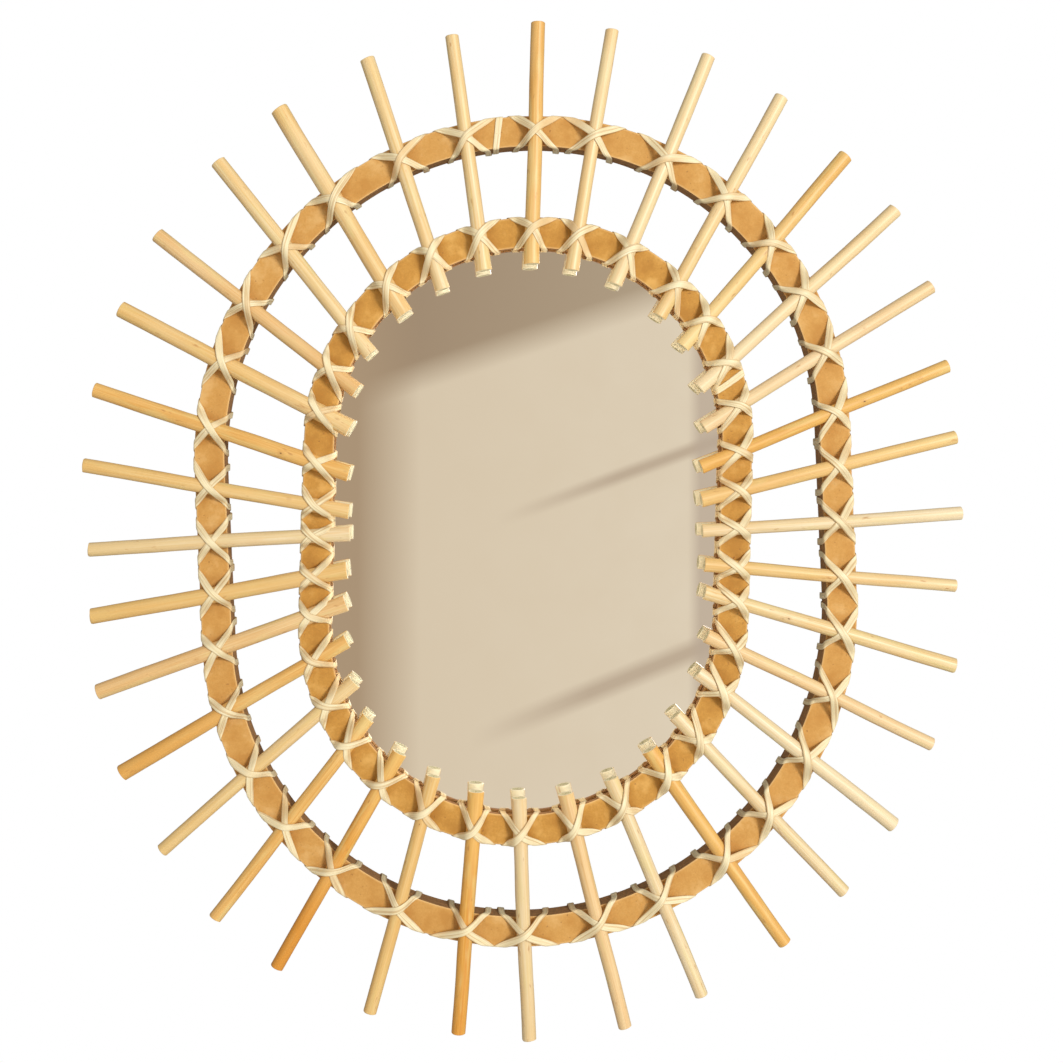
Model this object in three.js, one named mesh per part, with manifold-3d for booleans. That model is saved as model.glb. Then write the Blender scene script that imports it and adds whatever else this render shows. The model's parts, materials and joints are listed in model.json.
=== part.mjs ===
// A sunburst wall mirror: peeled willow sticks fanned over two flat oval hoops and bound to them
// with crossed strands of peel, with a mirror glass and its backing behind the inner hoop.
//
// Millimetres. +Z is up, +X is to the right of someone facing the mirror, and the front faces -Y.
// The origin is on the wall, in the middle of the rear face of the hanger.
// Below, a depth is a distance from the wall, and a station is a way round a hoop from its top.

import * as THREE from "three";
import { mergeVertices } from "three/addons/utils/BufferGeometryUtils.js";
import Module from "manifold-3d";

const manifold = await Module();
manifold.setup();

// Gap kept between pieces that touch.
const clearance = 0.3;

// Both hoops are sawn by hand from flat board, as an oval of two round ends and two straight sides
// that came out a little skewed. The slide is how far its top is pushed to the right for its height,
// and the turn, in degrees clockwise, follows the slide.
const outerHoopRadius = 200.5;
const outerHoopStraight = 110;
const outerHoopSlide = 0.037;
const outerHoopTurn = -4.6;
const innerHoopRadius = 133.8;
const innerHoopStraight = 115;
const innerHoopSlide = 0.02;
const innerHoopTurn = 0.4;
const hoopWidth = 19.5;

// Their fronts are level. The inner one is thinner, because the glass and its backing lie behind it.
const outerHoopThickness = 15;
const innerHoopThickness = 5;

// The glass and its backing reach this far under the inner hoop, past its middle line.
const glassRim = 2;
const glassThickness = 3;
const backingRim = 5;
const backingThickness = 3;

// A strand of peel, and how far beside a stick its near edge comes down on the hoop's edge.
const peelWidth = 4.2;
const peelThickness = 0.9;
const outerBinding = { outerEdgeAtSides: 5, outerEdgeAtEnds: 12.5, innerEdge: 4.5 };
const innerBinding = { outerEdgeAtSides: 2.6, outerEdgeAtEnds: 3.5, innerEdge: 2.6 };

// The second strand lies this far off the first where it crosses it.
const strandGap = 0.6;

// A strand meets an edge at a slant, so it covers more of the edge than its width.
const slantCover = 1.3;

// A strand lies flat over this share of a stick's thickness before it slopes down to the hoop.
const crestShare = 0.85;

// The saw-tooth hanger, pinned to the backing below its top.
const hangerLength = 64;
const hangerHeight = 13;
const hangerThickness = 1.2;
const hangerFoot = 13;
const hangerBend = 3;
const hangerBelowTop = 24;
const toothPitch = 4;
const toothDepth = 2.4;
const toothedLength = 28;

const pinHeadRadius = 2.6;
const pinHeadHeight = 0.9;
const pinShankRadius = 0.9;

// The even fan starts a little anticlockwise of the top.
const fanStart = -0.7;

// How finely round things are faceted: steps in a quarter of an oval's round end, and sides of a bar.
const hoopSteps = 18;
const paneSteps = 8;
const stickSides = 8;
const pinSides = 8;

// Peeled willow colours, from bleached to toasted.
const willow = {
  pale: 0xe9ddbb,
  cream: 0xf0ddaa,
  straw: 0xeccb85,
  peach: 0xedc08c,
  honey: 0xe6b266,
  amber: 0xe09b4c,
};

// The sticks as they were laid, clockwise from the top, each cut and placed by hand.
// fan and lean are degrees: off the even fan at the outer hoop, and further off it at the inner hoop.
// reach is from the outer hoop's middle line to the tip, poke from the inner hoop's to the butt.
// tip and butt are the diameters of the two ends.
const sticks = [
  { fan: 2, lean: -0.1, reach: 68, poke: 21, tip: 9, butt: 9.5, tone: "honey" },
  { fan: 0.5, lean: 0.1, reach: 68, poke: 22, tip: 8.5, butt: 8.5, tone: "straw" },
  { fan: 1.3, lean: -0.6, reach: 71, poke: 21, tip: 9, butt: 9, tone: "straw" },
  { fan: 1.5, lean: 0.6, reach: 73, poke: 21, tip: 9, butt: 9, tone: "straw" },
  { fan: 1, lean: -0.1, reach: 73, poke: 21, tip: 9.5, butt: 9, tone: "honey" },
  { fan: 0, lean: 0.6, reach: 79, poke: 23, tip: 9.5, butt: 9, tone: "straw" },
  { fan: -0.3, lean: 0.3, reach: 79, poke: 25, tip: 9, butt: 8.5, tone: "peach" },
  { fan: -0.5, lean: 0.5, reach: 77, poke: 26, tip: 8.5, butt: 8.5, tone: "amber" },
  { fan: -1.2, lean: 0.9, reach: 77, poke: 24, tip: 8.5, butt: 9.5, tone: "honey" },
  { fan: -1.2, lean: 1, reach: 77, poke: 22, tip: 8.5, butt: 8, tone: "pale" },
  { fan: -1.3, lean: 1.6, reach: 72, poke: 20, tip: 8, butt: 8.5, tone: "straw" },
  { fan: -1.6, lean: 0.7, reach: 74, poke: 20, tip: 9.5, butt: 8.5, tone: "cream" },
  { fan: -1, lean: 1.2, reach: 71, poke: 18, tip: 8.5, butt: 8.5, tone: "peach" },
  { fan: -0.5, lean: 0.4, reach: 70, poke: 19, tip: 10, butt: 8.5, tone: "pale" },
  { fan: -0.1, lean: 1.1, reach: 69, poke: 20, tip: 8.5, butt: 9, tone: "pale" },
  { fan: -0.7, lean: 1.3, reach: 66, poke: 19, tip: 9, butt: 10, tone: "amber" },
  { fan: 0.5, lean: 0.9, reach: 66, poke: 19, tip: 8.5, butt: 9, tone: "pale" },
  { fan: 0.2, lean: 1.3, reach: 68, poke: 21, tip: 8.5, butt: 9.5, tone: "peach" },
  { fan: 0.9, lean: 0.9, reach: 67, poke: 22, tip: 9, butt: 9, tone: "pale" },
  { fan: -0.7, lean: 1.5, reach: 66, poke: 23, tip: 9, butt: 9.5, tone: "amber" },
  { fan: -0.5, lean: 1.3, reach: 68, poke: 22, tip: 8.5, butt: 8.5, tone: "straw" },
  { fan: 0.5, lean: 0, reach: 71, poke: 21, tip: 8.5, butt: 9, tone: "amber" },
  { fan: 0, lean: 0.7, reach: 74, poke: 20, tip: 8.5, butt: 8.5, tone: "honey" },
  { fan: -0.5, lean: 0, reach: 75, poke: 22, tip: 8.5, butt: 9, tone: "cream" },
  { fan: -0.3, lean: -0.3, reach: 77, poke: 23, tip: 10.5, butt: 8.5, tone: "honey" },
  { fan: -0.1, lean: -0.5, reach: 80, poke: 22, tip: 10, butt: 10, tone: "peach" },
  { fan: -0.6, lean: -0.5, reach: 79, poke: 21, tip: 10, butt: 10.5, tone: "straw" },
  { fan: -1.2, lean: 0.8, reach: 78, poke: 22, tip: 9, butt: 9, tone: "pale" },
  { fan: -1.3, lean: -1, reach: 81, poke: 21, tip: 9, butt: 9, tone: "straw" },
  { fan: -1.1, lean: 0, reach: 77, poke: 21, tip: 9.5, butt: 10, tone: "honey" },
  { fan: -0.1, lean: 0.8, reach: 73, poke: 21, tip: 10.5, butt: 11, tone: "straw" },
  { fan: -0.2, lean: 0.5, reach: 72, poke: 20, tip: 9.5, butt: 9.5, tone: "peach" },
  { fan: 0.5, lean: -0.7, reach: 69, poke: 19, tip: 10, butt: 9.5, tone: "cream" },
  { fan: 0.7, lean: 0.5, reach: 67, poke: 20, tip: 11.5, butt: 11, tone: "straw" },
  { fan: 2, lean: -0.2, reach: 67, poke: 22, tip: 9.5, butt: 9, tone: "cream" },
  { fan: 2, lean: -0.3, reach: 65, poke: 21, tip: 8.5, butt: 9.5, tone: "cream" },
];

// Depths of the layers, from the wall forwards.
const pinHeadRear = hangerThickness;
const footRear = pinHeadRear + pinHeadHeight + clearance;
const footFront = footRear + hangerThickness;
const backingRear = footFront + clearance;
const backingFront = backingRear + backingThickness;
const glassRear = backingFront + clearance;
const glassFront = glassRear + glassThickness;
const firstLayer = clearance;
const secondLayer = firstLayer + peelThickness + strandGap;
const innerHoopRear = glassFront + clearance + secondLayer + peelThickness;
const hoopFront = innerHoopRear + innerHoopThickness;
const outerHoopRear = hoopFront - outerHoopThickness;

const backingRadius = innerHoopRadius + backingRim;
const ovalCentre = hangerBelowTop - innerHoopStraight / 2 - backingRadius;

function material(color, roughness, metalness = 0) {
  return new THREE.MeshStandardMaterial({ color, roughness, metalness });
}

const boardMaterial = material(0xdba362, 0.8);
const peelMaterial = material(0xf3e2b6, 0.6);
const glassMaterial = material(0xc9cfd2, 0.03, 1);
const backingMaterial = material(0x8a6846, 0.85);
const steelMaterial = material(0xb9b7ae, 0.35, 1);

function named(name, geometry, itsMaterial) {
  const mesh = new THREE.Mesh(geometry, itsMaterial);
  mesh.name = name;
  return mesh;
}

// Stands a geometry drawn flat, with x and y on the page and its thickness up, on the wall side:
// the page's y becomes the object's z, and the thickness runs forwards from a depth.
function stood(geometry, depth) {
  return geometry.rotateX(Math.PI / 2).translate(0, -depth, 0);
}

// A hoop's middle line, and the depth of its rear face. Places on the line are first laid out on an
// even oval and then skewed with it.
class Hoop {
  constructor(radius, straight, slide, turn, rear) {
    this.radius = radius;
    this.rear = rear;
    this.straight = straight;
    this.half = straight / 2;
    this.quarter = (Math.PI / 2) * radius;
    this.length = 4 * this.quarter + 2 * straight;
    const sine = Math.sin(THREE.MathUtils.degToRad(turn));
    const cosine = Math.cos(THREE.MathUtils.degToRad(turn));
    this.skew = new THREE.Matrix3(
      cosine, cosine * slide + sine, 0,
      -sine, cosine - sine * slide, 0,
      0, 0, 1);
    this.even = this.skew.clone().invert();
  }

  // The place at a station, moved outwards by an offset, as x and z with the outward normal.
  at(station, offset = 0) {
    const { radius, straight, half, quarter, length } = this;
    const way = THREE.MathUtils.euclideanModulo(station, length);
    const rightEnd = quarter + straight;
    const bottomEnd = rightEnd + 2 * quarter;
    const leftEnd = bottomEnd + straight;
    let angle;
    let middle;
    if (way < quarter) {
      angle = way / radius;
      middle = half;
    } else if (way < rightEnd) {
      angle = Math.PI / 2;
      middle = half - (way - quarter);
    } else if (way < bottomEnd) {
      angle = Math.PI / 2 + (way - rightEnd) / radius;
      middle = -half;
    } else if (way < leftEnd) {
      angle = (3 * Math.PI) / 2;
      middle = way - bottomEnd - half;
    } else {
      angle = (3 * Math.PI) / 2 + (way - leftEnd) / radius;
      middle = half;
    }
    const outwards = new THREE.Vector2(Math.sin(angle), Math.cos(angle));
    const point = new THREE.Vector2(0, middle).addScaledVector(outwards, radius + offset);
    const onwards = new THREE.Vector2(outwards.y, -outwards.x).applyMatrix3(this.skew).normalize();
    return { point: point.applyMatrix3(this.skew), normal: new THREE.Vector2(-onwards.y, onwards.x) };
  }

  // The station of the place nearest a point.
  stationOf(point) {
    const { radius, straight, half, quarter, length } = this;
    const rightEnd = quarter + straight;
    const { x, y } = point.clone().applyMatrix3(this.even);
    if (y > half) {
      return THREE.MathUtils.euclideanModulo(Math.atan2(x, y - half) * radius, length);
    }
    if (y < -half) {
      return rightEnd + quarter - Math.atan2(x, -half - y) * radius;
    }
    if (x > 0) {
      return quarter + half - y;
    }
    return rightEnd + 2 * quarter + half + y;
  }

  // Where a line from the centre meets the oval, at an angle in degrees clockwise from the top.
  seenAt(degrees) {
    const { radius, half } = this;
    const angle = THREE.MathUtils.degToRad(degrees);
    const aim = new THREE.Vector2(Math.sin(angle), Math.cos(angle)).applyMatrix3(this.even).normalize();
    const toSide = radius / Math.abs(aim.x);
    const toEnd = half * Math.abs(aim.y) + Math.sqrt(radius ** 2 - (half * aim.x) ** 2);
    const distance = Math.abs(toSide * aim.y) <= half ? toSide : toEnd;
    return aim.multiplyScalar(distance).applyMatrix3(this.skew);
  }

  // Skews a geometry that is drawn flat on the page around an even oval.
  skewed(geometry) {
    const [a, b, , c, d] = this.skew.toArray();
    return geometry.applyMatrix4(new THREE.Matrix4().set(a, c, 0, 0, b, d, 0, 0, 0, 0, 1, 0, 0, 0, 0, 1));
  }
}

const outerHoop = new Hoop(outerHoopRadius, outerHoopStraight, outerHoopSlide, outerHoopTurn, outerHoopRear);
const innerHoop = new Hoop(innerHoopRadius, innerHoopStraight, innerHoopSlide, innerHoopTurn, innerHoopRear);

function ovalPath(path, radius, half) {
  path.absarc(0, half, radius, 0, Math.PI, false);
  path.absarc(0, -half, radius, Math.PI, 2 * Math.PI, false);
  path.closePath();
  return path;
}

// An arc is divided into twice as many segments as curveSegments says, so a half turn gets twice its steps.
function extruded(shape, depth, curveSegments) {
  return new THREE.ExtrudeGeometry(shape, { depth, bevelEnabled: false, curveSegments });
}

function board(name, hoop) {
  const shape = ovalPath(new THREE.Shape(), hoop.radius + hoopWidth / 2, hoop.half);
  shape.holes.push(ovalPath(new THREE.Path(), hoop.radius - hoopWidth / 2, hoop.half));
  const sawn = hoop.skewed(extruded(shape, hoopFront - hoop.rear, hoopSteps));
  return named(name, stood(sawn, hoop.rear), boardMaterial);
}

function pane(name, radius, thickness, rear, itsMaterial) {
  const shape = ovalPath(new THREE.Shape(), radius, innerHoop.half);
  return named(name, stood(extruded(shape, thickness, paneSteps), rear), itsMaterial);
}

// Works out how one stick lies: its ends, its direction, and where it crosses each hoop.
function layStick(row, index) {
  const evenly = (360 / sticks.length) * index + fanStart + row.fan;
  const outerPoint = outerHoop.seenAt(evenly);
  const innerPoint = innerHoop.seenAt(evenly + row.lean);
  const direction = outerPoint.clone().sub(innerPoint).normalize();
  const between = outerPoint.distanceTo(innerPoint);
  const length = row.poke + between + row.reach;
  const radiusAt = (way) => THREE.MathUtils.lerp(row.butt, row.tip, way / length) / 2;
  const crossing = (point, way) => ({ point, direction, radius: radiusAt(way) });
  return {
    length,
    direction,
    start: innerPoint.clone().addScaledVector(direction, -row.poke),
    inner: crossing(innerPoint, row.poke),
    outer: crossing(outerPoint, row.poke + between),
  };
}

// A tapered stick, tilted so that its underside lies along the front of both hoops.
function stick(row, index) {
  const { length, direction, start } = layStick(row, index);
  const axisDepth = (diameter) => hoopFront + clearance + diameter / 2;
  const butt = new THREE.Vector3(start.x, -axisDepth(row.butt), start.y);
  const end = start.clone().addScaledVector(direction, length);
  const tip = new THREE.Vector3(end.x, -axisDepth(row.tip), end.y);
  const geometry = new THREE.CylinderGeometry(row.tip / 2, row.butt / 2, butt.distanceTo(tip), stickSides);
  const name = `stick_${String(index + 1).padStart(2, "0")}`;
  const mesh = named(name, geometry, material(willow[row.tone], 0.6));
  mesh.position.copy(butt).lerp(tip, 0.5);
  mesh.quaternion.setFromUnitVectors(new THREE.Vector3(0, 1, 0), tip.clone().sub(butt).normalize());
  return mesh;
}

// How one crossing is bound: the strands' stations on each edge, and their slant over the stick.
function bindingAt(hoop, binding, { point, direction, radius }) {
  const { normal } = hoop.at(hoop.stationOf(point));
  const toEdge = hoopWidth / 2 / direction.dot(normal);
  const edgeStation = (side) => hoop.stationOf(point.clone().addScaledVector(direction, side * toEdge));
  const outerEdge = THREE.MathUtils.lerp(
    binding.outerEdgeAtSides, binding.outerEdgeAtEnds, Math.abs(normal.y));
  const besideStick = radius + (slantCover * peelWidth) / 2;
  const outerSpread = besideStick + outerEdge;
  const innerSpread = besideStick + binding.innerEdge;
  const slope = hoopWidth / (outerSpread + innerSpread);
  const crestHalfLength = Math.max((peelWidth / 2) * Math.hypot(1, 1 / slope), crestShare * radius);
  return {
    point,
    direction,
    topDepth: hoopFront + clearance + 2 * radius,
    slope,
    crestHalfLength,
    crestHalfWidth: (peelWidth / 2) * Math.hypot(1, slope),
    edges: {
      1: { station: edgeStation(1), spread: outerSpread },
      [-1]: { station: edgeStation(-1), spread: innerSpread },
    },
  };
}

// The four corners of a strand where it turns over a hoop's edge, on the front or at the back.
// The first two are on its inner face, and the last two on its outer face.
function edgeSection(hoop, side, onFront, station, layer) {
  const halfCover = (slantCover * peelWidth) / 2;
  const corner = (along, lift) => {
    const { point } = hoop.at(station + along, side * (hoopWidth / 2 + lift));
    const depth = onFront ? hoopFront + lift : hoop.rear - lift;
    return new THREE.Vector3(point.x, -depth, point.y);
  };
  const outside = layer + peelThickness;
  return [corner(-halfCover, layer), corner(halfCover, layer), corner(halfCover, outside), corner(-halfCover, outside)];
}

// The four corners of a strand on top of a stick, before or after its crest.
function crestSection(bound, climb, after, layer) {
  const across = new THREE.Vector2(bound.direction.y, -bound.direction.x);
  const along = climb * after * bound.slope * bound.crestHalfLength;
  const corner = (sideways, lift) => {
    const place = bound.point.clone();
    place.addScaledVector(across, after * bound.crestHalfLength);
    place.addScaledVector(bound.direction, along + sideways * bound.crestHalfWidth);
    return new THREE.Vector3(place.x, -(bound.topDepth + lift), place.y);
  };
  const outside = layer + peelThickness;
  return [corner(climb, layer), corner(-climb, layer), corner(-climb, outside), corner(climb, outside)];
}

// A strand that winds once round the hoop for each stick, and crosses over the stick as it goes.
// Where climb is 1 it crosses from the inner edge to the outer one, and where it is -1 the other way.
function strand(hoop, bindings, climb, layer) {
  const sections = bindings.flatMap((bound) => {
    const before = bound.edges[-climb];
    const after = bound.edges[climb];
    const start = before.station - before.spread;
    const finish = after.station + after.spread;
    return [
      edgeSection(hoop, -climb, false, start, layer),
      edgeSection(hoop, -climb, true, start, layer),
      crestSection(bound, climb, -1, layer),
      crestSection(bound, climb, 1, layer),
      edgeSection(hoop, climb, true, finish, layer),
      edgeSection(hoop, climb, false, finish, layer),
    ];
  });
  return ringOf(sections, climb > 0);
}

// Joins four-cornered sections into a closed ring.
function ringOf(sections, turned) {
  const positions = sections.flat().flatMap((corner) => corner.toArray());
  const index = [];
  sections.forEach((_, i) => {
    const here = 4 * i;
    const next = 4 * ((i + 1) % sections.length);
    const innerFace = [here, here + 1, next, here + 1, next + 1, next];
    const lateSide = [here + 1, here + 2, next + 1, here + 2, next + 2, next + 1];
    const outerFace = [here + 2, here + 3, next + 3, here + 2, next + 3, next + 2];
    const earlySide = [here + 3, here, next + 3, here, next, next + 3];
    index.push(...innerFace, ...lateSide, ...outerFace, ...earlySide);
  });
  const geometry = new THREE.BufferGeometry();
  geometry.setAttribute("position", new THREE.Float32BufferAttribute(positions, 3));
  geometry.setIndex(turned ? index.reverse() : index);
  geometry.computeVertexNormals();
  return geometry;
}

// The two strands that bind the sticks to one hoop, the second wound the other way over the first.
function lashings(hoopName, hoop, binding) {
  const bindings = sticks.map((row, index) => bindingAt(hoop, binding, layStick(row, index)[hoopName]));
  return [
    named(`${hoopName}_lashing_first`, strand(hoop, bindings, 1, firstLayer), peelMaterial),
    named(`${hoopName}_lashing_second`, strand(hoop, bindings, -1, secondLayer), peelMaterial),
  ];
}

function toManifold(geometry) {
  const bare = geometry.clone();
  bare.deleteAttribute("normal");
  bare.deleteAttribute("uv");
  const merged = mergeVertices(bare);
  const vertProperties = new Float32Array(merged.getAttribute("position").array);
  const triVerts = new Uint32Array(merged.getIndex().array);
  return new manifold.Manifold(new manifold.Mesh({ numProp: 3, vertProperties, triVerts }));
}

function cut(geometry, tools) {
  const result = tools.reduce((solid, tool) => solid.subtract(toManifold(tool)), toManifold(geometry));
  const mesh = result.getMesh();
  const positions = new THREE.Float32BufferAttribute(mesh.vertProperties, 3);
  const out = new THREE.BufferGeometry().setAttribute("position", positions);
  out.setIndex(new THREE.BufferAttribute(mesh.triVerts, 1));
  out.computeVertexNormals();
  return out;
}

// A round bar that runs forwards from one depth to another.
function bar(radius, fromDepth, toDepth, x) {
  const length = toDepth - fromDepth;
  const geometry = new THREE.CylinderGeometry(radius, radius, length, pinSides);
  return geometry.translate(x, -(fromDepth + toDepth) / 2, 0);
}

// The pins go through the hanger's feet into the backing.
const pinPlaces = [-1, 1].map((side) => side * (hangerLength - hangerFoot) / 2);
const pinTip = backingFront - backingThickness / 3;
const pinHole = (x) => bar(pinShankRadius + clearance, pinHeadRear, pinTip + clearance, x);

// The hanger's strip seen from above: two feet on the backing and a middle that stands off it.
function hanger() {
  const half = hangerLength / 2;
  const heel = half - hangerFoot;
  const shoulder = heel - hangerBend;
  const right = [
    [shoulder, 0], [heel, footRear], [half, footRear], [half, footFront],
    [heel - hangerThickness / 2, footFront], [shoulder - hangerThickness / 2, hangerThickness],
  ];
  const left = right.map(([x, depth]) => [-x, depth]).reverse();
  const outline = [...right, ...left].map(([x, depth]) => new THREE.Vector2(x, -depth));
  const strip = extruded(new THREE.Shape(outline), hangerHeight, 1).translate(0, 0, -hangerHeight / 2);
  const count = Math.floor(toothedLength / toothPitch);
  const teeth = Array.from({ length: count }, (_, i) => tooth((i - (count - 1) / 2) * toothPitch));
  const holes = pinPlaces.map(pinHole);
  return named("hanger_plate", cut(strip, [...teeth, ...holes]), steelMaterial);
}

// One notch cut up into the hanger's lower edge.
function tooth(x) {
  const below = -hangerHeight / 2 - 1;
  const apex = -hangerHeight / 2 + toothDepth;
  const half = (toothPitch / 2) * ((apex - below) / toothDepth) * 0.9;
  const notch = new THREE.Shape([
    new THREE.Vector2(x - half, below),
    new THREE.Vector2(x + half, below),
    new THREE.Vector2(x, apex),
  ]);
  return stood(extruded(notch, hangerThickness + 2, 1), -1);
}

function pin(name, x) {
  const underHead = pinHeadRear + pinHeadHeight;
  const profile = [
    [0, pinTip], [pinShankRadius, pinTip], [pinShankRadius, underHead],
    [pinHeadRadius, underHead], [pinHeadRadius, pinHeadRear], [0, pinHeadRear],
  ].map(([r, depth]) => new THREE.Vector2(r, -depth));
  return named(name, new THREE.LatheGeometry(profile, pinSides).translate(x, 0, 0), steelMaterial);
}

function backing() {
  const panel = pane("backing_board", backingRadius, backingThickness, backingRear, backingMaterial);
  const holes = pinPlaces.map((x) => pinHole(x).translate(0, 0, -ovalCentre));
  panel.geometry = cut(panel.geometry, holes);
  return panel;
}

const front = new THREE.Group();
front.position.z = ovalCentre;
front.add(board("outer_hoop", outerHoop), board("inner_hoop", innerHoop));
front.add(...sticks.map(stick));
front.add(...lashings("outer", outerHoop, outerBinding));
front.add(...lashings("inner", innerHoop, innerBinding));
front.add(pane("mirror_glass", innerHoopRadius + glassRim, glassThickness, glassRear, glassMaterial));
front.add(backing());

const mirror = new THREE.Group();
mirror.add(front, hanger(), pin("hanger_pin_left", pinPlaces[0]), pin("hanger_pin_right", pinPlaces[1]));

export default mirror;
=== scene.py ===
# Willow sunburst wall mirror: the looks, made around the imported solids.
# Metres, +Z up, +X to the right of someone facing the mirror, front towards -Y.

import json
import math
import random

import bmesh
import bpy
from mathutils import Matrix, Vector, noise


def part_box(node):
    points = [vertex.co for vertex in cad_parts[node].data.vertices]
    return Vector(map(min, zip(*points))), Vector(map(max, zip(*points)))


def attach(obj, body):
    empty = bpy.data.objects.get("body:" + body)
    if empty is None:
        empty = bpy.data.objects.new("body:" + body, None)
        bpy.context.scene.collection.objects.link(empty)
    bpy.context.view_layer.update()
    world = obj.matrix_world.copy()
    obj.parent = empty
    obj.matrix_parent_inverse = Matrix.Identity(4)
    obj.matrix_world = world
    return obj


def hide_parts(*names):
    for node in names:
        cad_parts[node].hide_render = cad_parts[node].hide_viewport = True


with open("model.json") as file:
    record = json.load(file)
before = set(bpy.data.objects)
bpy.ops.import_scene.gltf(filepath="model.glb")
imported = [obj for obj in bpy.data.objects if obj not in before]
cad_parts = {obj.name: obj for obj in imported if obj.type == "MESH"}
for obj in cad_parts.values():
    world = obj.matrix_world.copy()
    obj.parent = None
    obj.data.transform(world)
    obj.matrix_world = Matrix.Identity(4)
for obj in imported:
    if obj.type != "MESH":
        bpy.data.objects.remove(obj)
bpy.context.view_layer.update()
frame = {"nodes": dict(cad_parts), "record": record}
slots = {row["node"]: row["material_slot"] for row in frame["record"]["subparts"]}

MM = 0.001

# Where the photograph was taken from: how far the camera stood from the front of the hoops, the
# place straight in front of it, and how wide the photograph is there.
PHOTO_SIDE_PX = 1063
FOOT_PX = (466, 457)
OVAL_CENTRE_PX = (525.8, 531.4)
PHOTO_WIDTH = 0.680
METRES_PER_PX = PHOTO_WIDTH / PHOTO_SIDE_PX
CAMERA_DISTANCE = 0.955
SENSOR_WIDTH = 36

# The ovals of the two hoops, as in the solids: the middle line's round ends and straight sides, how
# far its top is slid to the right for its height, and its turn clockwise after that.
HOOP_SHAPES = {
    "outer": {"radius": 200.5 * MM, "straight": 110 * MM, "slide": 0.037, "turn": -4.6},
    "inner": {"radius": 133.8 * MM, "straight": 115 * MM, "slide": 0.02, "turn": 0.4},
}
HOOP_WIDTH = 19.5 * MM
HOOP_EDGE_ROUND = 0.8 * MM
HOOP_STEPS = 420
HOOP_WOBBLE = 0.12 * MM

# How much of the way round a hoop's section, on each side of a corner, goes into its rounding, and
# how far from a corner its face is painted paler, as a painted highlight along its edge.
CORNER_REACH = 1.3 * MM
EDGE_HIGHLIGHT_REACH = 1.6 * CORNER_REACH

# A strand of peel, and how far it stands off the board where it lies on it, and where it lies over
# the other strand: behind the board, past the front's edge, and on top of a stick.
PEEL_HALF_WIDTH = 2.15 * MM
PEEL_WIDTH_VARIES = 0.09
PEEL_THICKNESS = 0.6 * MM
LOW_LIFT = 0.08 * MM
HIGH_LIFT = 0.75 * MM
LIFT_STARTS = 1 * MM
CREST_LIFT = 1.1 * PEEL_THICKNESS

# How much wider than itself a strand is along the edge that it slants over.
EDGE_WIDENING = 1.2

# How the strands run over a hoop, in millimetres. The spreads are from the stick to the middle of a
# strand where it turns over an edge, and vary by hand by a share of themselves. The crest, where a
# strand crosses the stick, is shifted outwards from the hoop's middle line, and varies too. The drift
# is how far along the hoop a strand goes on each of the sawn sides.
BINDINGS = {
    "outer": {
        "outer_spread_at_sides": 13, "outer_spread_at_ends": 16.5, "inner_spread": 10.6,
        "crest_shift": -0.7, "side_drift": 3.0,
    },
    "inner": {
        "outer_spread_at_sides": 9.0, "outer_spread_at_ends": 10.5, "inner_spread": 9.6,
        "crest_shift": 1.4, "side_drift": 1.4,
    },
}
SPREAD_VARIES = 0.2
CREST_VARIES = 0.6

# The slope of a strand on the back, in degrees from the hoop's direction.
BACK_SLOPE = 76

# How soon a strand's arms turn: they run straight, and bend close to the crest.
ARM_PULL = 0.9
CREST_PULL = 0.4

# The share of its slope that a strand still has where it comes down on the board.
LANDING_SLOPE = 0.3

# The steps of a strand from an edge to its crest, down a sawn side and across the back, and how
# much the steps bunch up towards the corners on the last two.
ARM_STEPS = 15
SIDE_STEPS = 8
BACK_STEPS = 6
BUNCHING = 0.11
LOOSE_BAND_STEPS = 72

# Sticks: how many, and the rings along each and the points round it.
STICK_COUNT = 36
STICK_RINGS = 96
STICK_SIDES = 28

# The cut ends: the chamfer, the rings inside it as shares of the radius, the sunken pith, and how
# far a cut may slant.
CUT_CHAMFER = 0.35 * MM
CUT_RINGS = [0.12, 0.5, 0.9]
PITH_SHARE = 0.2
PITH_DEPTH = 0.15 * MM
BUTT_SLANT = 0.09
TIP_SLANT = 0.12

# How far a stick bends to a side and back, how much its radius swells in short and in long waves
# and at a knot, and how a butt splays towards its cut.
STICK_BEND = 0.4 * MM
STICK_WAVE = 0.25 * MM
SHORT_SWELL = 0.022
LONG_SWELL = 0.03
KNOT_SWELL = 0.05
KNOT_SWELL_REACH = 1.6
BUTT_SPLAY = 0.09
BUTT_SPLAY_REACH = 9 * MM

# A butt's back, which the glass shows, is painted paler than its front for this far: painted light,
# for the light that the glass throws back onto it.
PALE_BACK = 2.4
PALE_BACK_REACH = 40 * MM

# How much paler, or deeper where it is below nought, a stick is than its kind, at its tip and its butt.
PALER = {
    1: (-0.1, 0.2), 2: (0.2, 0.2), 3: (0.4, 0.4), 4: (0.4, 0.1), 5: (0, 0.7), 6: (0.3, 0.6), 7: (0.3, 0.4),
    8: (0.4, 0.2), 9: (0.4, 0.2), 10: (0.3, 0), 11: (0.3, -0.2), 13: (0.3, 0.1), 14: (0.3, 0.2),
    16: (0.3, 0.3), 18: (0.2, 0), 19: (-0.3, -0.2), 20: (-0.2, 0.3), 21: (-0.3, -0.2), 22: (-0.6, 0.4),
    24: (-0.5, -0.1), 25: (-0.6, 0), 26: (-0.3, 0), 27: (-0.5, -0.3), 28: (-0.6, 0), 29: (-0.4, 0),
    31: (-0.3, 0), 32: (-0.1, -0.4), 34: (0, 0.1),
}

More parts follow.
